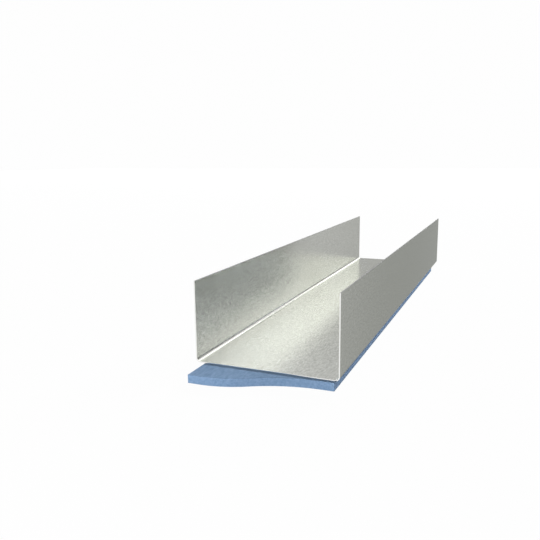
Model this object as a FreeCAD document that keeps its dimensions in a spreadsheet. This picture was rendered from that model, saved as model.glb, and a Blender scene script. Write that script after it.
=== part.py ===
import FreeCAD, Part
import math
import os
import Sketcher

# A drywall track: a length of sheet steel folded into a U, with a foam sealing strip bonded
# under its web. It lies on the strip as on a floor: legs up, +Z up, its length along Y.
# The origin is on the floor, under the middle of the track. Lengths are in millimetres.

# Driving sizes: alias, value and meaning
SIZES = [
    ("track_length", 300.0, "length of the steel track"),
    ("web_width", 70.0, "outside width of the track across its web"),
    ("leg_height", 39.0, "outside height of a leg from the underside of the web"),
    ("sheet_thickness", 0.55, "thickness of the steel sheet"),
    ("bend_radius", 1.8, "inside radius of the two bends"),
    ("strip_thickness", 3.9, "thickness of the foam, which carries the web"),
    ("left_inset", 4.6, "from the left leg's outside to the strip's left edge"),
    ("right_inset", 1.9, "from the right leg's outside to the strip's right edge"),
    ("far_setback", 19.0, "from the track's far end back to the strip's far end"),
    ("near_overhang", 15.8, "from the track's near end out to the strip's furthest point"),
    ("wave_start", 4.9, "straight stretch of the wavy cut, from the strip's left edge"),
    ("wave_run", 53.8, "width of the wave across the strip"),
    ("wave_depth", 14.0, "how far the wave falls back towards the track"),
    ("crest_radius", 45.0, "radius of the wave's outward curve"),
]

# Point numbers of a sketch line or arc, and the sketch's own origin and upright axis
START, END, CENTRE = 1, 2, 3
ORIGIN = (-1, 1)
UPRIGHT_AXIS = -2


def make_sheet(doc):
    """Write the driving sizes into a spreadsheet, one aliased row for each."""
    sheet = doc.addObject("Spreadsheet::Sheet", "Sizes")
    for row, (alias, value, meaning) in enumerate(SIZES, start=1):
        sheet.set(f"A{row}", alias)
        sheet.set(f"B{row}", str(value))
        sheet.set(f"C{row}", meaning)
        sheet.setAlias(f"B{row}", alias)
    doc.recompute()
    return sheet


def make_body(doc, label):
    body = doc.addObject("PartDesign::Body", label)
    body.Label = label
    return body


def make_sketch(body, name, role):
    """Add a sketch on the body's own origin plane of the given role."""
    plane = next(item for item in body.Origin.OriginFeatures if item.Role == role)
    sketch = body.newObject("Sketcher::SketchObject", name)
    sketch.AttachmentSupport = [(plane, "")]
    sketch.MapMode = "FlatFace"
    return sketch


def add_line(sketch, start, end):
    points = [FreeCAD.Vector(*start, 0), FreeCAD.Vector(*end, 0)]
    return sketch.addGeometry(Part.LineSegment(*points), False)


def add_arc(sketch, centre, radius, first_degrees, last_degrees):
    """Add an arc that runs anticlockwise from the first angle to the last."""
    circle = Part.Circle(FreeCAD.Vector(*centre, 0), FreeCAD.Vector(0, 0, 1), radius)
    arc = Part.ArcOfCircle(circle, math.radians(first_degrees), math.radians(last_degrees))
    return sketch.addGeometry(arc, False)


def constrain(sketch, kind, *values):
    return sketch.addConstraint(Sketcher.Constraint(kind, *values))


def drive(sketch, formula, kind, *values):
    """Add a dimension and bind it to a formula of the sheet's sizes."""
    index = constrain(sketch, kind, *values)
    sketch.setExpression(f"Constraints[{index}]", formula)


def make_track(doc, sheet):
    """The folded steel section, drawn as a closed outline and drawn out along Y."""
    body = make_body(doc, "steel_track")
    sketch = make_sketch(body, "track_section", "XZ_Plane")

    half_width = sheet.web_width / 2
    wall = sheet.sheet_thickness
    inner_radius = sheet.bend_radius
    outer_radius = inner_radius + wall
    base = sheet.strip_thickness
    top = base + sheet.leg_height
    bend_side = half_width - outer_radius
    bend_level = base + outer_radius
    inner_side = half_width - wall

    # Outside of the U, from the left leg's top round to the right leg's top
    left_out = add_line(sketch, (-half_width, top), (-half_width, bend_level))
    left_out_bend = add_arc(sketch, (-bend_side, bend_level), outer_radius, 180, 270)
    web_under = add_line(sketch, (-bend_side, base), (bend_side, base))
    right_out_bend = add_arc(sketch, (bend_side, bend_level), outer_radius, 270, 360)
    right_out = add_line(sketch, (half_width, bend_level), (half_width, top))
    right_edge = add_line(sketch, (half_width, top), (inner_side, top))

    # Inside of the U, back from the right leg's top to the left leg's top
    right_in = add_line(sketch, (inner_side, top), (inner_side, bend_level))
    right_in_bend = add_arc(sketch, (bend_side, bend_level), inner_radius, 270, 360)
    web_over = add_line(sketch, (bend_side, base + wall), (-bend_side, base + wall))
    left_in_bend = add_arc(sketch, (-bend_side, bend_level), inner_radius, 180, 270)
    left_in = add_line(sketch, (-inner_side, bend_level), (-inner_side, top))
    left_edge = add_line(sketch, (-inner_side, top), (-half_width, top))

    for line in (left_out, right_out, right_in, left_in):
        constrain(sketch, "Vertical", line)
    for line in (web_under, web_over, right_edge, left_edge):
        constrain(sketch, "Horizontal", line)
    smooth_joints = [
        (left_out, END, left_out_bend, START),
        (left_out_bend, END, web_under, START),
        (web_under, END, right_out_bend, START),
        (right_out_bend, END, right_out, START),
        (right_in, END, right_in_bend, END),
        (right_in_bend, START, web_over, START),
        (web_over, END, left_in_bend, END),
        (left_in_bend, START, left_in, START),
    ]
    for joint in smooth_joints:
        constrain(sketch, "Tangent", *joint)
    corners = [
        (right_out, END, right_edge, START),
        (right_edge, END, right_in, START),
        (left_in, END, left_edge, START),
        (left_edge, END, left_out, START),
    ]
    for corner in corners:
        constrain(sketch, "Coincident", *corner)

    # Both walls of a bend turn about one centre, and the section is alike left and right
    constrain(sketch, "Coincident", left_out_bend, CENTRE, left_in_bend, CENTRE)
    constrain(sketch, "Coincident", right_out_bend, CENTRE, right_in_bend, CENTRE)
    constrain(sketch, "Equal", left_in_bend, right_in_bend)
    constrain(sketch, "Symmetric", left_out, START, right_out, END, UPRIGHT_AXIS)

    drive(sketch, "Sizes.web_width", "DistanceX", left_out, START, right_out, END, 2 * half_width)
    drive(sketch, "Sizes.leg_height", "DistanceY", web_under, END, right_out, END, top - base)
    drive(sketch, "Sizes.sheet_thickness", "DistanceX", right_edge, END, right_edge, START, wall)
    drive(sketch, "Sizes.bend_radius", "Radius", left_in_bend, inner_radius)
    drive(sketch, "Sizes.strip_thickness", "DistanceY", *ORIGIN, web_under, START, base)

    pad = body.newObject("PartDesign::Pad", "track_run")
    pad.Profile = sketch
    pad.SideType = "Symmetric"
    pad.setExpression("Length", "Sizes.track_length")
    return body


def draw_blank(body, sheet):
    """Outline of the strip before its near end is trimmed, one wave depth over long."""
    sketch = make_sketch(body, "strip_blank", "XY_Plane")
    left = -sheet.web_width / 2 + sheet.left_inset
    right = sheet.web_width / 2 - sheet.right_inset
    near = -sheet.track_length / 2 - sheet.near_overhang - sheet.wave_depth
    far = sheet.track_length / 2 - sheet.far_setback

    near_edge = add_line(sketch, (left, near), (right, near))
    right_edge = add_line(sketch, (right, near), (right, far))
    far_edge = add_line(sketch, (right, far), (left, far))
    left_edge = add_line(sketch, (left, far), (left, near))
    edges = [near_edge, right_edge, far_edge, left_edge]
    for edge, following in zip(edges, edges[1:] + edges[:1]):
        constrain(sketch, "Coincident", edge, END, following, START)
    for edge in (near_edge, far_edge):
        constrain(sketch, "Horizontal", edge)
    for edge in (right_edge, left_edge):
        constrain(sketch, "Vertical", edge)

    to_left = "Sizes.web_width / 2 - Sizes.left_inset"
    to_right = "Sizes.web_width / 2 - Sizes.right_inset"
    to_near = "Sizes.track_length / 2 + Sizes.near_overhang + Sizes.wave_depth"
    to_far = "Sizes.track_length / 2 - Sizes.far_setback"
    drive(sketch, to_left, "DistanceX", near_edge, START, *ORIGIN, -left)
    drive(sketch, to_right, "DistanceX", *ORIGIN, near_edge, END, right)
    drive(sketch, to_near, "DistanceY", near_edge, START, *ORIGIN, -near)
    drive(sketch, to_far, "DistanceY", *ORIGIN, far_edge, START, far)
    return sketch


def draw_wave(body, sheet):
    """What the freehand cut takes off the near end: a straight start, then an S of two arcs."""
    sketch = make_sketch(body, "wavy_cut", "XY_Plane")
    strip_width = sheet.web_width - sheet.left_inset - sheet.right_inset
    bend_x = -sheet.web_width / 2 + sheet.left_inset + sheet.wave_start
    crest_y = -sheet.track_length / 2 - sheet.near_overhang
    run = sheet.wave_run
    depth = sheet.wave_depth
    crest_radius = sheet.crest_radius
    hollow_radius = (run ** 2 + depth ** 2) / (2 * depth) - crest_radius
    turn = math.degrees(2 * math.atan(depth / run))
    cut_left = bend_x - 2 * sheet.wave_start
    cut_right = bend_x + run + strip_width
    cut_near = crest_y - 2 * depth
    hollow_y = crest_y + depth

    straight = add_line(sketch, (cut_left, crest_y), (bend_x, crest_y))
    crest = add_arc(sketch, (bend_x, crest_y + crest_radius), crest_radius, 270, 270 + turn)
    hollow_centre = (bend_x + run, hollow_y - hollow_radius)
    hollow = add_arc(sketch, hollow_centre, hollow_radius, 90, 90 + turn)
    run_out = add_line(sketch, (bend_x + run, hollow_y), (cut_right, hollow_y))
    right_side = add_line(sketch, (cut_right, hollow_y), (cut_right, cut_near))
    near_side = add_line(sketch, (cut_right, cut_near), (cut_left, cut_near))
    left_side = add_line(sketch, (cut_left, cut_near), (cut_left, crest_y))

    constrain(sketch, "Tangent", straight, END, crest, START)
    constrain(sketch, "Tangent", crest, END, hollow, END)
    constrain(sketch, "Tangent", hollow, START, run_out, START)
    chain = [run_out, right_side, near_side, left_side, straight]
    for line, following in zip(chain, chain[1:]):
        constrain(sketch, "Coincident", line, END, following, START)
    for line in (straight, run_out, near_side):
        constrain(sketch, "Horizontal", line)
    for line in (right_side, left_side):
        constrain(sketch, "Vertical", line)

    to_bend = "Sizes.web_width / 2 - Sizes.left_inset - Sizes.wave_start"
    to_crest = "Sizes.track_length / 2 + Sizes.near_overhang"
    past_right = "Sizes.web_width - Sizes.left_inset - Sizes.right_inset"
    drive(sketch, to_bend, "DistanceX", straight, END, *ORIGIN, -bend_x)
    drive(sketch, to_crest, "DistanceY", straight, END, *ORIGIN, -crest_y)
    drive(sketch, "Sizes.wave_run", "DistanceX", straight, END, run_out, START, run)
    drive(sketch, "Sizes.wave_depth", "DistanceY", straight, END, run_out, START, depth)
    drive(sketch, "Sizes.crest_radius", "Radius", crest, crest_radius)

    # The cut runs past both sides of the strip and past the blank's near edge
    drive(sketch, "2 * Sizes.wave_start", "DistanceX", straight, START, straight, END, bend_x - cut_left)
    drive(sketch, past_right, "DistanceX", run_out, START, run_out, END, strip_width)
    drive(sketch, "2 * Sizes.wave_depth", "DistanceY", left_side, START, left_side, END, 2 * depth)
    return sketch


def make_strip(doc, sheet):
    """The foam strip: a flat blank under the web, then the wavy cut through its near end."""
    body = make_body(doc, "foam_strip")
    pad = body.newObject("PartDesign::Pad", "strip_layer")
    pad.Profile = draw_blank(body, sheet)
    pad.setExpression("Length", "Sizes.strip_thickness")
    doc.recompute()

    cut = body.newObject("PartDesign::Pocket", "near_trim")
    cut.Profile = draw_wave(body, sheet)
    cut.Type = "ThroughAll"
    cut.Reversed = True
    return body


def check(doc, bodies):
    """Stop if any object of the document failed or a body isn't one valid solid."""
    for item in doc.Objects:
        if "Invalid" in item.State or "Error" in item.State:
            raise RuntimeError(f"{item.Label} failed to compute")
    for body in bodies:
        shape = body.Shape
        if shape.isNull() or not shape.isValid() or len(shape.Solids) != 1:
            raise RuntimeError(f"{body.Label} is not one valid solid")


def main():
    doc = FreeCAD.newDocument("drywall_track")
    sheet = make_sheet(doc)
    bodies = [make_track(doc, sheet), make_strip(doc, sheet)]
    doc.recompute()
    check(doc, bodies)

    os.makedirs("parts", exist_ok=True)
    for body in bodies:
        body.Shape.exportStep(f"parts/{body.Label}.step")
        print(f"{body.Label}: {body.Shape.Volume:.1f} mm3, {body.Shape.BoundBox}")


main()
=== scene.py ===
# %% [markdown]
# # A drywall track with a foam seal
# The real object is a short length of U-shaped track for a thin partition wall: galvanised sheet
# steel, roll-formed into a flat web with two upright legs, and a strip of blue foam bonded under
# the web. This lesson dresses the two solids of that object for a picture. The first cell loads
# them, because the outer sizes of both pieces are read from them.

# %% Load the two solids
import math

import bpy
from mathutils import Matrix, Vector


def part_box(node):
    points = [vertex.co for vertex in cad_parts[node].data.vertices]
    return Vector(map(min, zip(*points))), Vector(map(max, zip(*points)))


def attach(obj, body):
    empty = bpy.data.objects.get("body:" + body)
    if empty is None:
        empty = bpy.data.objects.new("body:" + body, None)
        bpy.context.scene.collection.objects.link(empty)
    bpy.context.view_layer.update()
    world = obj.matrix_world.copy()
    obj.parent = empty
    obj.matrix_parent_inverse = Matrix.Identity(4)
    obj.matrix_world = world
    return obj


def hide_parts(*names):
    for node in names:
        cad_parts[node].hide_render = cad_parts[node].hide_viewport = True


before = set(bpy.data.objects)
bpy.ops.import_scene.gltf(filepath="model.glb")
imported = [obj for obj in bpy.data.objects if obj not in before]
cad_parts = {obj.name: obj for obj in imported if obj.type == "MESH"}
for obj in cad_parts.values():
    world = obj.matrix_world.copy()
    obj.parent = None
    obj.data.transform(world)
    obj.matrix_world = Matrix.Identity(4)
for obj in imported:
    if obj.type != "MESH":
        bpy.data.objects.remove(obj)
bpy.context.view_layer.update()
TRACK_LOW, TRACK_HIGH = [Vector(corner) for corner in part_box("steel_track")]
STRIP_LOW, STRIP_HIGH = [Vector(corner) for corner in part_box("foam_strip")]
MM = 0.001
print("track", tuple(round(size / MM, 2) for size in TRACK_HIGH - TRACK_LOW), "mm")
print("strip", tuple(round(size / MM, 2) for size in STRIP_HIGH - STRIP_LOW), "mm")

# %% [markdown]
# ## The camera
# A product picture is mostly decided by where the camera stands. This one stands low in front of
# the near end, a little to the right, so that both legs and the foam tongue show. A camera could
# be aimed with a Track To constraint, but here its three axes are written out: turned to the left,
# dipped below level and rolled a trifle, which keeps the long edges of the track on the lines
# where they are wanted.

# %% Place the camera
CAMERA_PLACE = Vector((0.10262, -0.38476, 0.10022))
CAMERA_TURN = math.radians(22.951)
CAMERA_DIP = math.radians(11.019)
CAMERA_ROLL = math.radians(-0.61)
CAMERA_LENS = 40.098

forward = Vector((
    -math.sin(CAMERA_TURN) * math.cos(CAMERA_DIP),
    math.cos(CAMERA_TURN) * math.cos(CAMERA_DIP),
    -math.sin(CAMERA_DIP),
))
level_right = Vector((math.cos(CAMERA_TURN), math.sin(CAMERA_TURN), 0.0))
level_up = level_right.cross(forward)
right = level_right * math.cos(CAMERA_ROLL) + level_up * math.sin(CAMERA_ROLL)
up = level_up * math.cos(CAMERA_ROLL) - level_right * math.sin(CAMERA_ROLL)

camera_data = bpy.data.cameras.new("camera")
camera_data.lens = CAMERA_LENS
camera_data.sensor_fit = "HORIZONTAL"
camera = bpy.data.objects.new("camera", camera_data)
bpy.context.scene.collection.objects.link(camera)
axes = Matrix((right, up, -forward)).transposed()
camera.matrix_world = Matrix.Translation(CAMERA_PLACE) @ axes.to_4x4()
bpy.context.scene.camera = camera
print("camera", round((CAMERA_PLACE - TRACK_LOW).length, 3), "m from the near left corner")

# %% [markdown]
# ## Helpers for node trees
# Shapes and finishes below are node trees. They could be drawn by hand in Blender's editors, but
# in code every value has a name. Four short helpers keep that readable: one links or fills a
# socket, one adds a node with its settings and inputs, one makes a Math node, and one makes a
# vector.

# %% Make the node helpers
def feed(tree, socket, value):
    """Links another node's output into a socket, or sets the socket to a plain value."""
    if isinstance(value, bpy.types.NodeSocket):
        tree.links.new(value, socket)
    else:
        socket.default_value = value


def add_node(tree, kind, inputs=None, **settings):
    """A new node of that kind, with its own settings, and with inputs given by their labels."""
    node = tree.nodes.new(kind)
    for name, value in settings.items():
        setattr(node, name, value)
    for label, value in (inputs or {}).items():
        feed(tree, node.inputs[label], value)
    return node


def calculate(tree, operation, *values):
    """The result of a Math node on one, two or three values."""
    node = add_node(tree, "ShaderNodeMath", operation=operation)
    for socket, value in zip(node.inputs, values):
        feed(tree, socket, value)
    return node.outputs[0]


def point_at(tree, x, y, z):
    """A vector from three values."""
    return add_node(tree, "ShaderNodeCombineXYZ", {"X": x, "Y": y, "Z": z}).outputs[0]


print("helpers: feed, add_node, calculate, point_at")

# %% [markdown]
# ## A shared grain for the finishes
# Zinc-coated steel, a cut edge and foam all have a fine mottle, each at its own size. It could be
# wired anew in every material. Instead, one shader node group makes it from a Noise Texture on
# Object coordinates and gives out a tone and a height. Every material then places the same group
# with its own values, so a change in the grain is made in one place.

# %% Build the grain group
NOISE_DETAIL = 2.0
NOISE_LOW = 0.3
NOISE_HIGH = 0.7

grain = bpy.data.node_groups.new("fine grain", "ShaderNodeTree")
for label, start in (("Size", MM), ("Stretch", 1.0), ("Seed", 0.0)):
    socket = grain.interface.new_socket(label, in_out="INPUT", socket_type="NodeSocketFloat")
    socket.default_value = start
for label in ("Tone", "Height"):
    grain.interface.new_socket(label, in_out="OUTPUT", socket_type="NodeSocketFloat")

given = add_node(grain, "NodeGroupInput")
where = add_node(grain, "ShaderNodeTexCoord")
squeeze = calculate(grain, "DIVIDE", 1.0, given.outputs["Stretch"])
scaled = add_node(grain, "ShaderNodeVectorMath", operation="MULTIPLY")
feed(grain, scaled.inputs[0], where.outputs["Object"])
feed(grain, scaled.inputs[1], point_at(grain, 1.0, squeeze, 1.0))
noise = add_node(grain, "ShaderNodeTexNoise", {
    "Vector": scaled.outputs[0],
    "W": given.outputs["Seed"],
    "Scale": calculate(grain, "DIVIDE", 1.0, given.outputs["Size"]),
    "Detail": NOISE_DETAIL,
}, noise_dimensions="4D")
spread = add_node(grain, "ShaderNodeMapRange", {
    "Value": noise.outputs[0],
    "From Min": NOISE_LOW,
    "From Max": NOISE_HIGH,
})
add_node(grain, "NodeGroupOutput", {"Tone": spread.outputs[0], "Height": noise.outputs[0]})


def place_grain(tree, size, stretch=1.0, seed=0.0):
    """The grain group in a material, with that material's own values."""
    values = {"Size": size, "Stretch": stretch, "Seed": seed}
    return add_node(tree, "ShaderNodeGroup", values, node_tree=grain)


print("grain group:", [item.name for item in grain.interface.items_tree])

# %% [markdown]
# ## Helpers for finishes
# Every finish on this object is a Principled shader whose colour, roughness and bump follow a
# grain. The wiring is the same each time, so it is written once here. What differs from finish to
# finish, the colours and sizes, then stands alone in the cell of that finish.

# %% Make the finish helpers
MIX_FIRST_COLOUR = 6
MIX_SECOND_COLOUR = 7
MIX_RESULT_COLOUR = 2


def new_material(name):
    """A material with its tree and its Principled shader."""
    material = bpy.data.materials.new(name)
    material.use_nodes = True
    tree = material.node_tree
    shader = tree.nodes["Principled BSDF"]
    return material, tree, shader


def blend_tones(tree, shares):
    """The sum of several tones, each with its share."""
    total = 0.0
    for tone, share in shares:
        total = calculate(tree, "MULTIPLY_ADD", tone, share, total)
    return total


def blend_colours(tree, factor, first, second):
    """A colour between two, by a factor from 0 to 1."""
    node = add_node(tree, "ShaderNodeMix", {"Factor": factor}, data_type="RGBA")
    feed(tree, node.inputs[MIX_FIRST_COLOUR], first)
    feed(tree, node.inputs[MIX_SECOND_COLOUR], second)
    return node.outputs[MIX_RESULT_COLOUR]


def set_roughness(tree, shader, tone, least, rise):
    """A roughness that starts at its least value and rises with the tone."""
    feed(tree, shader.inputs["Roughness"], calculate(tree, "MULTIPLY_ADD", tone, rise, least))


def add_bump(tree, shader, height, strength, depth):
    """A Bump node that feeds a shader's Normal."""
    bump = add_node(tree, "ShaderNodeBump", {
        "Strength": strength,
        "Distance": depth,
        "Height": height,
    })
    feed(tree, shader.inputs["Normal"], bump.outputs[0])


print("helpers: new_material, blend_tones, blend_colours, set_roughness, add_bump")

# %% [markdown]
# ## Galvanised steel
# The zinc on such a sheet is a slightly greenish grey with a fine orange-peel grain, and long faint
# streaks follow the length, where the rollers rubbed it. A picture of zinc could be wrapped round
# the sheet, but a metal takes almost all of its look from what it reflects, so a plain colour with
# grain in tone, roughness and bump does better. There are two finishes of it. The inside of the
# channel keeps the plain, paler zinc. The outside is a copy that is darker where it is seen edge on,
# which is painted shade: a darker reflection painted into the outer faces. In the bends a dark grey
# is mixed into the colour, which is painted shade along each bend.

# %% Mix the galvanised steel
ZINC_DARK = (0.505, 0.511, 0.489, 1.0)
ZINC_LIGHT = (0.685, 0.692, 0.662, 1.0)
ZINC_EDGE_ON = (0.496, 0.498, 0.478, 1.0)
# The outside copy's darker tint seen edge on is painted shade, a darker reflection.
SHADED_EDGE_ON = (0.364, 0.373, 0.352, 1.0)
# A dark grey mixed into the bends, as painted shade along each bend.
PAINTED_CREASE_SHADE = (0.20, 0.20, 0.19, 1.0)
PEEL_SIZE = 0.7 * MM
PEEL_STRETCH = 3.0
PEEL_SHARE = 0.88
PEEL_STRENGTH = 0.6
PEEL_DEPTH = 0.02 * MM
SPANGLE_SIZE = 5.0 * MM
SPANGLE_SHARE = 0.04
STREAK_SIZE = 1.1 * MM
STREAK_STRETCH = 90.0
STREAK_SHARE = 0.08
ZINC_ROUGHNESS = 0.19
ZINC_ROUGHNESS_RISE = 0.06


def mix_zinc(name, edge_on):
    """A zinc finish with its own tint where it is seen edge on."""
    material, tree, shader = new_material(name)
    peel = place_grain(tree, PEEL_SIZE, stretch=PEEL_STRETCH)
    spangle = place_grain(tree, SPANGLE_SIZE, seed=3.0)
    streak = place_grain(tree, STREAK_SIZE, stretch=STREAK_STRETCH, seed=7.0)
    tone = blend_tones(tree, (
        (peel.outputs["Tone"], PEEL_SHARE),
        (spangle.outputs["Tone"], SPANGLE_SHARE),
        (streak.outputs["Tone"], STREAK_SHARE),
    ))
    colour = blend_colours(tree, tone, ZINC_DARK, ZINC_LIGHT)
    # Painted shade: the bends take the dark grey by the stored strength.
    crease_shade = add_node(tree, "ShaderNodeAttribute", attribute_name="crease_shade")
    colour = blend_colours(tree, crease_shade.outputs["Fac"], colour, PAINTED_CREASE_SHADE)
    feed(tree, shader.inputs["Base Color"], colour)
    shader.inputs["Metallic"].default_value = 1.0
    shader.inputs["Specular Tint"].default_value = edge_on
    set_roughness(tree, shader, tone, ZINC_ROUGHNESS, ZINC_ROUGHNESS_RISE)
    add_bump(tree, shader, peel.outputs["Height"], PEEL_STRENGTH, PEEL_DEPTH)
    print(name, len(tree.nodes), "nodes")
    return material


zinc = mix_zinc("dull_zinc", ZINC_EDGE_ON)
# The outside copy, darker where seen edge on: painted shade.
shaded_outside_zinc = mix_zinc("shaded_outside_zinc", SHADED_EDGE_ON)

# %% [markdown]
# ## The cut edges
# Bare steel shows where the sheet was cut. The shear left the two ends bright and smooth, so they
# mirror what lies before them: the blue foam tongue in the middle and the white floor beside it.
# The long upper edges were slit from a wide coil long before, and their torn steel has gone dull
# and grey. Separate strips of mesh could carry these finishes, but further materials on the same
# mesh keep the sheet in one piece.

# %% Mix the cut edges
SHEARED_DARK = (0.84, 0.84, 0.82, 1.0)
SHEARED_LIGHT = (0.94, 0.94, 0.92, 1.0)
SHEARED_ROUGHNESS = {"least": 0.08, "rise": 0.04}
SCRATCH_SIZE = 0.25 * MM
SCRATCH_BUMP = {"strength": 0.1, "depth": 0.01 * MM}
SLIT_DARK = (0.27, 0.27, 0.26, 1.0)
SLIT_LIGHT = (0.38, 0.38, 0.37, 1.0)
SLIT_ROUGHNESS = {"least": 0.55, "rise": 0.15}
SLIT_GLOSS = 0.2
TEAR_SIZE = 0.30 * MM
TEAR_BUMP = {"strength": 0.3, "depth": 0.03 * MM}


def mix_cut_steel(name, dark, light, mark, roughness, bump):
    """A cut edge whose colour, roughness and bump follow one grain, and its shader."""
    material, tree, shader = new_material(name)
    marks = place_grain(tree, **mark)
    colour = blend_colours(tree, marks.outputs["Tone"], dark, light)
    feed(tree, shader.inputs["Base Color"], colour)
    set_roughness(tree, shader, marks.outputs["Tone"], **roughness)
    add_bump(tree, shader, marks.outputs["Height"], **bump)
    print(name, len(tree.nodes), "nodes")
    return material, shader


scratches = {"size": SCRATCH_SIZE, "seed": 11.0}
sheared, shader = mix_cut_steel(
    "sheared_end", SHEARED_DARK, SHEARED_LIGHT, scratches, SHEARED_ROUGHNESS, SCRATCH_BUMP)
shader.inputs["Metallic"].default_value = 1.0

tears = {"size": TEAR_SIZE, "seed": 13.0}
slit, shader = mix_cut_steel(
    "slit_edge", SLIT_DARK, SLIT_LIGHT, tears, SLIT_ROUGHNESS, TEAR_BUMP)
shader.inputs["Specular IOR Level"].default_value = SLIT_GLOSS

# %% [markdown]
# ## The track
# A roll-former bends flat strip along two lines and leaves a section that is the same all the way.
# Extruding a drawn outline would do, but Geometry Nodes follow the maker's steps: four corner
# points make the middle line of the sheet, Fillet Curve rounds the two bends, and Curve to Mesh
# carries that line along the length. Its sizes stay named inputs on the modifier.

# %% Make the helpers for shapes
def new_shape_tree(name, inputs):
    """An empty Geometry Nodes tree with named inputs, and its first and last nodes."""
    tree = bpy.data.node_groups.new(name, "GeometryNodeTree")
    tree.is_modifier = True
    for label, kind in inputs.items():
        tree.interface.new_socket(label, in_out="INPUT", socket_type="NodeSocket" + kind)
    tree.interface.new_socket("Geometry", in_out="OUTPUT", socket_type="NodeSocketGeometry")
    return tree, add_node(tree, "NodeGroupInput"), add_node(tree, "NodeGroupOutput")


def end_shape_tree(tree, geometry, material, last):
    """Smooth shading, Realize Instances and Set Material, which every tree here ends in."""
    smooth = add_node(tree, "GeometryNodeSetShadeSmooth", {"Geometry": geometry})
    realize = add_node(tree, "GeometryNodeRealizeInstances", {"Geometry": smooth.outputs[0]})
    painted = add_node(tree, "GeometryNodeSetMaterial", {
        "Geometry": realize.outputs[0],
        "Material": material,
    })
    feed(tree, last.inputs["Geometry"], painted.outputs[0])


print("helpers: new_shape_tree, end_shape_tree")

# %% Build the track's node tree
track_tree, sizes, last = new_shape_tree("roll-formed track", {
    "Width": "Float", "Height": "Float", "Length": "Float", "Lift": "Float",
    "Bend Radius": "Float", "Bend Steps": "Int", "Stations": "Int", "Finish": "Material",
})
half = calculate(track_tree, "MULTIPLY", sizes.outputs["Width"], 0.5)
other_half = calculate(track_tree, "MULTIPLY", sizes.outputs["Width"], -0.5)
# On a line along +Y, Curve to Mesh lays a profile's Y downwards, so the legs are drawn down.
leg_end = calculate(track_tree, "MULTIPLY", sizes.outputs["Height"], -1.0)
corners = add_node(track_tree, "GeometryNodeCurvePrimitiveQuadrilateral", mode="POINTS")
feed(track_tree, corners.inputs["Point 1"], point_at(track_tree, other_half, leg_end, 0.0))
feed(track_tree, corners.inputs["Point 2"], point_at(track_tree, other_half, 0.0, 0.0))
feed(track_tree, corners.inputs["Point 3"], point_at(track_tree, half, 0.0, 0.0))
feed(track_tree, corners.inputs["Point 4"], point_at(track_tree, half, leg_end, 0.0))
opened = add_node(track_tree, "GeometryNodeSetSplineCyclic", {
    "Geometry": corners.outputs[0],
    "Cyclic": False,
})
bent = add_node(track_tree, "GeometryNodeFilletCurve", {
    "Curve": opened.outputs[0],
    "Radius": sizes.outputs["Bend Radius"],
    "Count": sizes.outputs["Bend Steps"],
}, mode="POLY")
far_end = calculate(track_tree, "MULTIPLY", sizes.outputs["Length"], 0.5)
near_end = calculate(track_tree, "MULTIPLY", sizes.outputs["Length"], -0.5)
run = add_node(track_tree, "GeometryNodeCurvePrimitiveLine", {
    "Start": point_at(track_tree, 0.0, near_end, sizes.outputs["Lift"]),
    "End": point_at(track_tree, 0.0, far_end, sizes.outputs["Lift"]),
})
stations = add_node(track_tree, "GeometryNodeResampleCurve", {
    "Curve": run.outputs[0],
    "Count": sizes.outputs["Stations"],
})
swept = add_node(track_tree, "GeometryNodeCurveToMesh", {
    "Curve": stations.outputs[0],
    "Profile Curve": bent.outputs[0],
})
end_shape_tree(track_tree, swept.outputs[0], sizes.outputs["Finish"], last)
print("track tree:", len(track_tree.nodes), "nodes")

# %% [markdown]
# ## The lean of a sheared end, and painted shade in a bend
# A shear doesn't cut quite square: the blade comes from inside the channel and the break leans a
# few degrees, so the inner rim of each end stands back by less than a tenth of a millimetre. The
# bends carry a darker colour, painted shade along the crease. Both could be worked in by hand, but a
# second tree finds them by measuring the thickened sheet. It pulls the end points back by how deep
# they lie under the outer skin, and it stores how strong the painted shade is, by the angle round
# the bend, for the finish to read.

# %% Measure the sheet in the second tree
def split_vector(tree, vector):
    """A Separate XYZ node on a vector."""
    return add_node(tree, "ShaderNodeSeparateXYZ", {"Vector": vector})


shear_tree, sizes, last = new_shape_tree("sheared ends", {
    "Geometry": "Geometry", "Half Width": "Float", "Half Length": "Float", "Bottom": "Float",
    "Outer Bend": "Float", "Lean": "Float", "Finish": "Material",
})
skin_radius = sizes.outputs["Outer Bend"]
position = add_node(shear_tree, "GeometryNodeInputPosition")
spot = split_vector(shear_tree, position.outputs[0])
flat_half = calculate(shear_tree, "SUBTRACT", sizes.outputs["Half Width"], skin_radius)
from_middle = calculate(shear_tree, "ABSOLUTE", spot.outputs["X"])
beside = calculate(shear_tree, "SUBTRACT", from_middle, flat_half)
beside = calculate(shear_tree, "MAXIMUM", beside, 0.0)
bend_middle = calculate(shear_tree, "ADD", sizes.outputs["Bottom"], skin_radius)
below = calculate(shear_tree, "SUBTRACT", bend_middle, spot.outputs["Z"])
below = calculate(shear_tree, "MAXIMUM", below, 0.0)
below_squared = calculate(shear_tree, "MULTIPLY", below, below)
squares = calculate(shear_tree, "MULTIPLY_ADD", beside, beside, below_squared)
from_bend_middle = calculate(shear_tree, "SQRT", squares)
under_skin = calculate(shear_tree, "SUBTRACT", skin_radius, from_bend_middle)
print("shear tree:", len(shear_tree.nodes), "nodes to measure")

# %% Lean the ends and mark the painted shade in the bends
END_REACH = 0.01 * MM
# Round a bend the angle goes from 0 at the leg to a right angle at the web.
# The painted shade in a bend fades in and out between these angles.
SHADE_FADES_IN = (math.radians(12.0), math.radians(28.0))
SHADE_FADES_OUT = (math.radians(66.0), math.radians(48.0))


def smooth_step(tree, value, start, stop):
    """0 up to the start and 1 from the stop on, with a soft change between."""
    return add_node(tree, "ShaderNodeMapRange", {
        "Value": value,
        "From Min": start,
        "From Max": stop,
    }, interpolation_type="SMOOTHSTEP").outputs[0]


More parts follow.
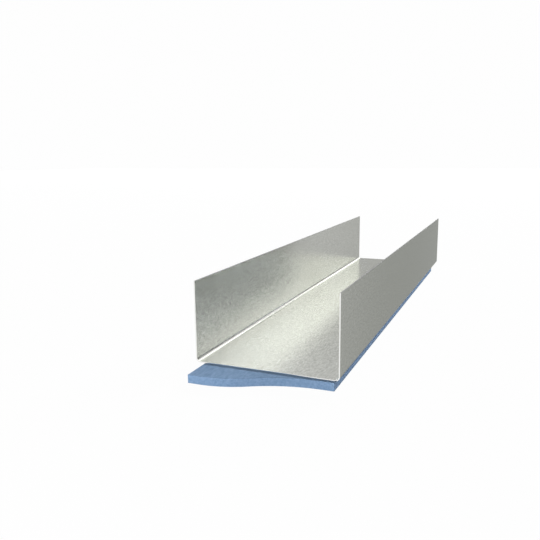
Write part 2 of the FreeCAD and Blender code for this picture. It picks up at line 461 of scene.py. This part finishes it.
along = calculate(shear_tree, "ABSOLUTE", spot.outputs["Y"])
from_end = calculate(shear_tree, "SUBTRACT", sizes.outputs["Half Length"], along)
at_end = calculate(shear_tree, "LESS_THAN", from_end, END_REACH)
slope = calculate(shear_tree, "TANGENT", sizes.outputs["Lean"])
pull = calculate(shear_tree, "MULTIPLY", under_skin, slope)
pull = calculate(shear_tree, "MULTIPLY", pull, calculate(shear_tree, "SIGN", spot.outputs["Y"]))
pull = calculate(shear_tree, "MULTIPLY", pull, calculate(shear_tree, "MULTIPLY", at_end, -1.0))
leaned = add_node(shear_tree, "GeometryNodeSetPosition", {
    "Geometry": sizes.outputs["Geometry"],
    "Offset": point_at(shear_tree, 0.0, pull, 0.0),
})
turned = calculate(shear_tree, "ARCTAN2", below, beside)
fading_in = smooth_step(shear_tree, turned, *SHADE_FADES_IN)
fading_out = smooth_step(shear_tree, turned, *SHADE_FADES_OUT)
# Stores how strong the painted shade is in each bend.
marked = add_node(shear_tree, "GeometryNodeStoreNamedAttribute", {
    "Geometry": leaned.outputs[0],
    "Name": "crease_shade",
    "Value": calculate(shear_tree, "MULTIPLY", fading_in, fading_out),
}, data_type="FLOAT", domain="POINT")
end_shape_tree(shear_tree, marked.outputs[0], sizes.outputs["Finish"], last)
print("shear tree:", len(shear_tree.nodes), "nodes in all")

# %% [markdown]
# ## Helpers for modifiers
# Both pieces start as an empty mesh that a stack of modifiers fills. The stack could stay live, but
# a finished piece is easier to pass on as a plain mesh. The helpers below set a tree's inputs,
# round the edges, keep wide faces flat in the shading, and replace the stack by what it makes.

# %% Make the modifier helpers
SQUARE_EDGE = math.radians(60.0)
FLATS_WEIGHT = 100


def new_piece(name):
    """An empty mesh object at the origin."""
    piece = bpy.data.objects.new(name, bpy.data.meshes.new(name))
    bpy.context.scene.collection.objects.link(piece)
    return piece


def shape_by_nodes(piece, name, tree, values):
    """A Geometry Nodes modifier whose inputs are set by identifier, found by their labels."""
    modifier = piece.modifiers.new(name, "NODES")
    modifier.node_group = tree
    for item in tree.interface.items_tree:
        if item.name in values:
            modifier[item.identifier] = values[item.name]


def break_edges(piece, width, segments):
    """A Bevel on an object's square edges."""
    breaking = piece.modifiers.new("edge break", "BEVEL")
    breaking.width = width
    breaking.segments = segments
    breaking.limit_method = "ANGLE"
    breaking.angle_limit = SQUARE_EDGE


def keep_flats(piece):
    """A Weighted Normal that shades an object's wide faces flat up to its edges."""
    flats = piece.modifiers.new("flats", "WEIGHTED_NORMAL")
    flats.weight = FLATS_WEIGHT


def make_plain(piece):
    """Replaces an object's live modifiers by the plain mesh that they give."""
    graph = bpy.context.evaluated_depsgraph_get()
    finished = piece.evaluated_get(graph)
    mesh = bpy.data.meshes.new_from_object(finished, preserve_all_data_layers=True, depsgraph=graph)
    mesh.name = piece.name
    piece.modifiers.clear()
    piece.data = mesh


def describe(piece):
    """Prints a piece's lowest and highest corner in millimetres and how many faces it has."""
    places = [vertex.co for vertex in piece.data.vertices]
    low = tuple(round(min(place[axis] for place in places) / MM, 3) for axis in range(3))
    high = tuple(round(max(place[axis] for place in places) / MM, 3) for axis in range(3))
    print(piece.name, low, high, len(piece.data.polygons), "faces")


print("helpers: new_piece, shape_by_nodes, break_edges, keep_flats, make_plain, describe")

# %% [markdown]
# ## From line to sheet
# The first tree gives a surface without thickness. Solidify thickens it by half the sheet to each
# side, and its even offset keeps the bends round. The second tree leans the ends, Bevel takes the
# razor edge off the cuts, and Weighted Normal keeps the wide flats flat where they run into the
# bends. The result is then made a plain mesh.

# %% Make the track
SHEET_THICKNESS = 0.55 * MM
INSIDE_BEND = 1.8 * MM
OUTER_BEND = INSIDE_BEND + SHEET_THICKNESS
BEND_STEPS = 16
STATIONS = 25
EDGE_BREAK = 0.02 * MM
EDGE_BREAK_STEPS = 2
SHEAR_LEAN = math.radians(7.0)

track = new_piece("galvanised_track")
shape_by_nodes(track, "roll-forming", track_tree, {
    "Width": TRACK_HIGH.x - TRACK_LOW.x - SHEET_THICKNESS,
    "Height": TRACK_HIGH.z - TRACK_LOW.z - SHEET_THICKNESS / 2,
    "Length": TRACK_HIGH.y - TRACK_LOW.y,
    "Lift": TRACK_LOW.z + SHEET_THICKNESS / 2,
    "Bend Radius": INSIDE_BEND + SHEET_THICKNESS / 2,
    "Bend Steps": BEND_STEPS,
    "Stations": STATIONS,
    "Finish": zinc,
})
gauge = track.modifiers.new("gauge", "SOLIDIFY")
gauge.thickness = SHEET_THICKNESS
gauge.offset = 0.0
gauge.use_even_offset = True
shape_by_nodes(track, "shearing", shear_tree, {
    "Half Width": TRACK_HIGH.x,
    "Half Length": TRACK_HIGH.y,
    "Bottom": TRACK_LOW.z,
    "Outer Bend": OUTER_BEND,
    "Lean": SHEAR_LEAN,
    "Finish": zinc,
})
break_edges(track, EDGE_BREAK, EDGE_BREAK_STEPS)
keep_flats(track)
make_plain(track)
describe(track)

# %% [markdown]
# ## Painting the cuts and the outside
# The faces of the track are easy to tell apart. Sheared faces look along the track, slit faces look
# up and lie at the top of a leg, and outside faces lie in the outer half of the sheet. They could
# be picked by hand in Edit Mode, but a rule still holds when a size changes, so each face is given
# its finish by material index.

# %% Paint the faces
INSIDE, SHEARED_END, SLIT_EDGE, OUTSIDE = range(4)
FACING = 0.3


def finish_number(face):
    """The material index of a face, by the way it looks and where it lies in the sheet."""
    if abs(face.normal.y) > FACING:
        return SHEARED_END
    if face.normal.z > FACING and face.center.z > TRACK_HIGH.z - SHEET_THICKNESS:
        return SLIT_EDGE
    beside_flat = max(abs(face.center.x) - (TRACK_HIGH.x - OUTER_BEND), 0.0)
    below_leg = max(TRACK_LOW.z + OUTER_BEND - face.center.z, 0.0)
    if math.hypot(beside_flat, below_leg) > OUTER_BEND - SHEET_THICKNESS / 2:
        return OUTSIDE
    return INSIDE


for finish in (sheared, slit, shaded_outside_zinc):
    track.data.materials.append(finish)
for face in track.data.polygons:
    face.material_index = finish_number(face)
numbers = [face.material_index for face in track.data.polygons]
counts = [numbers.count(number) for number in (INSIDE, SHEARED_END, SLIT_EDGE, OUTSIDE)]
print("faces inside, on sheared ends, on slit edges and outside:", counts)

# %% [markdown]
# ## Blue foam
# The seal is closed-cell foam: matt, a greyish blue, with cells of about half a millimetre that a
# knife leaves open. A plain colour would look like painted wood. A Voronoi Texture gives the cells
# for bump and a little tone, and the shared grain adds a speckle that is drawn out along the strip
# and the slow mottle of the foam sheet. Object coordinates keep the cells the same size on the top
# and on the cut ends.

# %% Mix the foam
FOAM_DARK = (0.174, 0.290, 0.462, 1.0)
FOAM_LIGHT = (0.291, 0.428, 0.635, 1.0)
FOAM_ROUGHNESS = {"least": 0.75, "rise": 0.1}
FOAM_GLOSS = 0.3
CELL_SIZE = 0.5 * MM
CELL_SHARE = 0.20
CELL_BUMP = {"strength": 0.2, "depth": 0.06 * MM}
MOTTLE_SIZE = 4.0 * MM
MOTTLE_SHARE = 0.10
SPECKLE_SIZE = 0.9 * MM
SPECKLE_STRETCH = 3.0
SPECKLE_SHARE = 0.70

foam_finish, tree, shader = new_material("blue_foam_cells")
where = add_node(tree, "ShaderNodeTexCoord")
cells = add_node(tree, "ShaderNodeTexVoronoi", {
    "Vector": where.outputs["Object"],
    "Scale": 1.0 / CELL_SIZE,
})
mottle = place_grain(tree, MOTTLE_SIZE, seed=17.0)
speckle = place_grain(tree, SPECKLE_SIZE, stretch=SPECKLE_STRETCH, seed=23.0)
tone = blend_tones(tree, (
    (cells.outputs["Distance"], CELL_SHARE),
    (mottle.outputs["Tone"], MOTTLE_SHARE),
    (speckle.outputs["Tone"], SPECKLE_SHARE),
))
feed(tree, shader.inputs["Base Color"], blend_colours(tree, tone, FOAM_DARK, FOAM_LIGHT))
set_roughness(tree, shader, mottle.outputs["Tone"], **FOAM_ROUGHNESS)
shader.inputs["Specular IOR Level"].default_value = FOAM_GLOSS
add_bump(tree, shader, cells.outputs["Distance"], **CELL_BUMP)
print(foam_finish.name, len(tree.nodes), "nodes")

# %% [markdown]
# ## The foam strip
# The strip was slit to width by machine and cut off at the near end freehand, in a lazy S. Geometry
# Nodes start from a box with many divisions and slide its cross rows along the length, so that the
# near end follows two arcs that meet on a common tangent. A Boolean with a wavy knife would cut the
# same line, but it would leave no even mesh for the soft edges.

# %% Draw the freehand cut
def arc_height(tree, radius, offset):
    """The height of a circle above its middle, at an offset from it."""
    squared = calculate(tree, "MULTIPLY", offset, offset)
    left_over = calculate(tree, "SUBTRACT", calculate(tree, "MULTIPLY", radius, radius), squared)
    return calculate(tree, "SQRT", left_over)


def freehand_cut(tree, x, start, run, depth, crest):
    """How far the cut stands back at x: flat, a crest arc, a hollow arc, then flat again."""
    squares = calculate(tree, "MULTIPLY_ADD", run, run, calculate(tree, "MULTIPLY", depth, depth))
    both = calculate(tree, "DIVIDE", squares, calculate(tree, "MULTIPLY", depth, 2.0))
    hollow = calculate(tree, "SUBTRACT", both, crest)
    meeting = calculate(tree, "DIVIDE", calculate(tree, "MULTIPLY", run, crest), both)
    along = calculate(tree, "SUBTRACT", x, start)
    along = calculate(tree, "MAXIMUM", calculate(tree, "MINIMUM", along, run), 0.0)
    before = calculate(tree, "MINIMUM", along, meeting)
    crest_back = calculate(tree, "SUBTRACT", crest, arc_height(tree, crest, before))
    after = calculate(tree, "SUBTRACT", run, calculate(tree, "MAXIMUM", along, meeting))
    hollow_rise = arc_height(tree, hollow, after)
    hollow_back = calculate(tree, "ADD", calculate(tree, "SUBTRACT", depth, hollow), hollow_rise)
    past = calculate(tree, "GREATER_THAN", along, meeting)
    step = calculate(tree, "SUBTRACT", hollow_back, crest_back)
    return calculate(tree, "MULTIPLY_ADD", step, past, crest_back)


print("helpers: arc_height, freehand_cut")

# %% Build the strip's node tree
CHATTER_PER_METRE = 260.0
CHATTER_UPRIGHT = 0.3

strip_tree, sizes, last = new_shape_tree("foam strip", {
    "Size": "Vector", "Middle": "Vector", "Across": "Int", "Along": "Int", "Through": "Int",
    "Wave Start": "Float", "Wave Run": "Float", "Wave Depth": "Float", "Crest Radius": "Float",
    "Knife Ripple": "Float", "Finish": "Material",
})
blank = add_node(strip_tree, "GeometryNodeMeshCube", {
    "Size": sizes.outputs["Size"],
    "Vertices X": sizes.outputs["Across"],
    "Vertices Y": sizes.outputs["Along"],
    "Vertices Z": sizes.outputs["Through"],
})
position = add_node(strip_tree, "GeometryNodeInputPosition")
spot = split_vector(strip_tree, position.outputs[0])
extent = split_vector(strip_tree, sizes.outputs["Size"])
from_left = calculate(strip_tree, "MULTIPLY_ADD", extent.outputs["X"], 0.5, spot.outputs["X"])
wave = [sizes.outputs[label] for label in ("Wave Start", "Wave Run", "Wave Depth", "Crest Radius")]
back = freehand_cut(strip_tree, from_left, *wave)
height = calculate(strip_tree, "MULTIPLY", spot.outputs["Z"], CHATTER_UPRIGHT)
chatter = add_node(strip_tree, "ShaderNodeTexNoise", {
    "Vector": point_at(strip_tree, spot.outputs["X"], 0.0, height),
    "Scale": CHATTER_PER_METRE,
})
ripple = sizes.outputs["Knife Ripple"]
back = calculate(strip_tree, "MULTIPLY_ADD", chatter.outputs[0], ripple, back)
along = calculate(strip_tree, "DIVIDE", spot.outputs["Y"], extent.outputs["Y"])
share = calculate(strip_tree, "SUBTRACT", 0.5, along)
slide = point_at(strip_tree, 0.0, calculate(strip_tree, "MULTIPLY", back, share), 0.0)
shift = add_node(strip_tree, "ShaderNodeVectorMath", operation="ADD")
feed(strip_tree, shift.inputs[0], slide)
feed(strip_tree, shift.inputs[1], sizes.outputs["Middle"])
cut = add_node(strip_tree, "GeometryNodeSetPosition", {
    "Geometry": blank.outputs[0],
    "Offset": shift.outputs[0],
})
end_shape_tree(strip_tree, cut.outputs[0], sizes.outputs["Finish"], last)
print("strip tree:", len(strip_tree.nodes), "nodes")

# %% [markdown]
# ## Soft edges on the foam
# A knife leaves foam with edges that give way a little, so a Bevel of a tenth of a millimetre rounds
# them. Cloth simulation is the usual way to make a soft piece, but it would swell this flat sheet.
# Weighted Normal keeps the top and the cut end flat up to their edges. The top stays a hair under
# the web, because two faces in exactly the same place would flicker.

# %% Make the foam strip
WEB_CLEARANCE = 0.02 * MM
EDGE_SOFTNESS = 0.10 * MM
EDGE_SOFTNESS_STEPS = 3
POINTS_ACROSS = 54
POINTS_ALONG = 249
POINTS_THROUGH = 5
WAVE_START = 4.9 * MM
WAVE_RUN = 53.8 * MM
WAVE_DEPTH = 14.0 * MM
CREST_RADIUS = 45.0 * MM
KNIFE_RIPPLE = 0.12 * MM

strip_size = STRIP_HIGH - STRIP_LOW
strip_size.z -= WEB_CLEARANCE
foam = new_piece("blue_foam_strip")
shape_by_nodes(foam, "cutting to shape", strip_tree, {
    "Size": strip_size,
    "Middle": STRIP_LOW + strip_size / 2,
    "Across": POINTS_ACROSS,
    "Along": POINTS_ALONG,
    "Through": POINTS_THROUGH,
    "Wave Start": WAVE_START,
    "Wave Run": WAVE_RUN,
    "Wave Depth": WAVE_DEPTH,
    "Crest Radius": CREST_RADIUS,
    "Knife Ripple": KNIFE_RIPPLE,
    "Finish": foam_finish,
})
break_edges(foam, EDGE_SOFTNESS, EDGE_SOFTNESS_STEPS)
keep_flats(foam)
make_plain(foam)
describe(foam)

# %% [markdown]
# ## Hiding the solids
# Both pieces, the steel and the soft foam, take the place of a solid of the same size, which is
# hidden, and stay on the one body that this object has.

# %% Hide the solids and tie the pieces to the body
for piece, node, slot in ((track, "steel_track", "galvanised_steel"), (foam, "foam_strip", "blue_foam")):
    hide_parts(node)
    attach(piece, "root")

# %% [markdown]
# ## A white floor and a white surround
# The picture is on plain white. A bright lamp on a grey floor would burn out the object as well, so
# the floor is a matt pale surface, and for the camera and for reflections most of its brightness is
# its own: it is white, with only a breath of the object's shadow. The world does the same. It is
# white to look at, and a softer light to everything it shines on.

# %% Lay the floor
FLOOR_REACH = 3.2
FLOOR_DROP = 0.05 * MM
FLOOR_COLOUR = (0.70, 0.70, 0.70, 1.0)
FLOOR_OWN_LIGHT = 0.98


def seen_directly(tree):
    """1 for a ray from the camera, a reflection or glass, 0 for light that falls on something."""
    path = add_node(tree, "ShaderNodeLightPath")
    camera_ray, glossy_ray = path.outputs["Is Camera Ray"], path.outputs["Is Glossy Ray"]
    either = calculate(tree, "MAXIMUM", camera_ray, glossy_ray)
    return calculate(tree, "MAXIMUM", either, path.outputs["Is Transmission Ray"])


floor = new_piece("floor")
quarters = ((-1, -1), (1, -1), (1, 1), (-1, 1))
floor_corners = [(x * FLOOR_REACH, y * FLOOR_REACH, -FLOOR_DROP) for x, y in quarters]
floor.data.from_pydata(floor_corners, [], [(0, 1, 2, 3)])
floor_paint, tree, shader = new_material("floor_paint")
shader.inputs["Base Color"].default_value = FLOOR_COLOUR
shader.inputs["Roughness"].default_value = 1.0
shader.inputs["Specular IOR Level"].default_value = 0.0
glow = add_node(tree, "ShaderNodeEmission")
blend = add_node(tree, "ShaderNodeMixShader")
feed(tree, blend.inputs[0], calculate(tree, "MULTIPLY", seen_directly(tree), FLOOR_OWN_LIGHT))
feed(tree, blend.inputs[1], shader.outputs[0])
feed(tree, blend.inputs[2], glow.outputs[0])
feed(tree, tree.nodes["Material Output"].inputs["Surface"], blend.outputs[0])
floor.data.materials.append(floor_paint)
print("floor", 2 * FLOOR_REACH, "m wide")

# %% Set the world
WORLD_LIGHT = 0.08
WHITE = 0.99

world = bpy.data.worlds.new("white surround")
world.use_nodes = True
bpy.context.scene.world = world
tree = world.node_tree
surround = tree.nodes["Background"]
surround.inputs["Color"].default_value = (1.0, 1.0, 1.0, 1.0)
own_light = calculate(tree, "MULTIPLY_ADD", seen_directly(tree), WHITE - WORLD_LIGHT, WORLD_LIGHT)
feed(tree, surround.inputs["Strength"], own_light)
print("world light", WORLD_LIGHT, "and white", WHITE)

# %% [markdown]
# ## Light for the foam
# Foam and zinc want different light: foam shows the light that falls on it, and zinc shows the lamps
# themselves. One set of lamps for both would be a compromise, so the foam has three of its own,
# which the zinc doesn't mirror. A small round key stands low in front of the near end and lights
# the wavy cut. A softbox beyond the far end shines along the channel onto the top of the tongue,
# and leaves the thin shadow under the edge of the web. A low fill lights the long left side.

# %% Hang the foam's lamps
KEY_PLACE = Vector((-0.05, -0.52, 0.05))
KEY_SIZE = 0.16
KEY_POWER = 1.26
SOFTBOX_AWAY = 4.0
BACK_BOX = {"turn": 5.0, "rise": 18.0, "wide": 30.0, "tall": 8.0, "radiance": 66.0}
FILL_BOX = {"turn": -60.0, "rise": 3.5, "wide": 40.0, "tall": 6.0, "radiance": 32.0}
TRACK_MIDDLE = (TRACK_LOW + TRACK_HIGH) / 2


def add_lamp(name, place, target, shape):
    """An area lamp at a place, turned to a target, that the camera doesn't see itself."""
    lamp = bpy.data.objects.new(name, bpy.data.lights.new(name, "AREA"))
    bpy.context.scene.collection.objects.link(lamp)
    lamp.location = place
    lamp.rotation_euler = (target - place).to_track_quat("-Z", "Y").to_euler()
    lamp.visible_camera = False
    lamp.data.shape = shape
    return lamp


def add_softbox(name, turn, rise, wide, tall, radiance):
    """A flat soft lamp that stands away from the track, given by the angles that it covers."""
    turn = math.radians(turn)
    rise = math.radians(rise)
    level = math.cos(rise)
    aim = Vector((math.sin(turn) * level, math.cos(turn) * level, math.sin(rise)))
    lamp = add_lamp(name, TRACK_MIDDLE + aim * SOFTBOX_AWAY, TRACK_MIDDLE, "RECTANGLE")
    lamp.data.size = 2 * SOFTBOX_AWAY * math.tan(math.radians(wide / 2))
    lamp.data.size_y = 2 * SOFTBOX_AWAY * math.tan(math.radians(tall / 2))
    lamp.data.energy = radiance * math.pi * lamp.data.size * lamp.data.size_y
    print(name, round(lamp.data.energy, 1), "W")
    return lamp


key = add_lamp("key", KEY_PLACE, STRIP_LOW, "DISK")
key.data.size = KEY_SIZE
key.data.energy = KEY_POWER
behind = add_softbox("softbox behind", **BACK_BOX)
fill = add_softbox("left fill", **FILL_BOX)
for lamp in (key, behind, fill):
    lamp.visible_glossy = False

# %% [markdown]
# ## Light for the zinc
# The bright and dark fields inside the channel are mirror images of lamps. A picture of a studio on
# the world would give them too, but seven softboxes beyond the far end, out of the camera's sight,
# can each be moved on its own. The far, middle, right and upper ones make the pale sweep along the
# web. The left, low and side ones brighten the inner side of the left leg, and are a little cooler.

# %% Hang the softboxes
FAR_BOX = {"turn": 7.0, "rise": 16.0, "wide": 18.0, "tall": 12.0, "radiance": 6.8}
MIDDLE_BOX = {"turn": 20.0, "rise": 19.5, "wide": 8.0, "tall": 19.0, "radiance": 4.0}
RIGHT_BOX = {"turn": 28.0, "rise": 19.5, "wide": 8.0, "tall": 19.0, "radiance": 1.5}
UPPER_BOX = {"turn": 10.0, "rise": 33.0, "wide": 28.0, "tall": 8.0, "radiance": 4.8}
LEFT_BOX = {"turn": -34.0, "rise": 22.5, "wide": 12.0, "tall": 13.0, "radiance": 4.4}
LOW_BOX = {"turn": -22.0, "rise": 7.0, "wide": 12.0, "tall": 6.0, "radiance": 9.2}
SIDE_BOX = {"turn": 36.0, "rise": 11.0, "wide": 12.0, "tall": 10.0, "radiance": 11.5}
PLAIN_WHITE = (1.0, 1.0, 1.0)
COOL_WHITE = (0.96, 1.0, 1.18)

for label, box, tint in (
    ("far softbox", FAR_BOX, PLAIN_WHITE),
    ("middle softbox", MIDDLE_BOX, PLAIN_WHITE),
    ("right softbox", RIGHT_BOX, PLAIN_WHITE),
    ("upper softbox", UPPER_BOX, PLAIN_WHITE),
    ("left softbox", LEFT_BOX, COOL_WHITE),
    ("low softbox", LOW_BOX, COOL_WHITE),
    ("side softbox", SIDE_BOX, COOL_WHITE),
):
    add_softbox(label, **box).data.color = tint

# %% [markdown]
# ## Last lines
# Colours are shown as they are written with the Standard view transform.

# %% Finish
bpy.context.scene.view_settings.view_transform = "Standard"
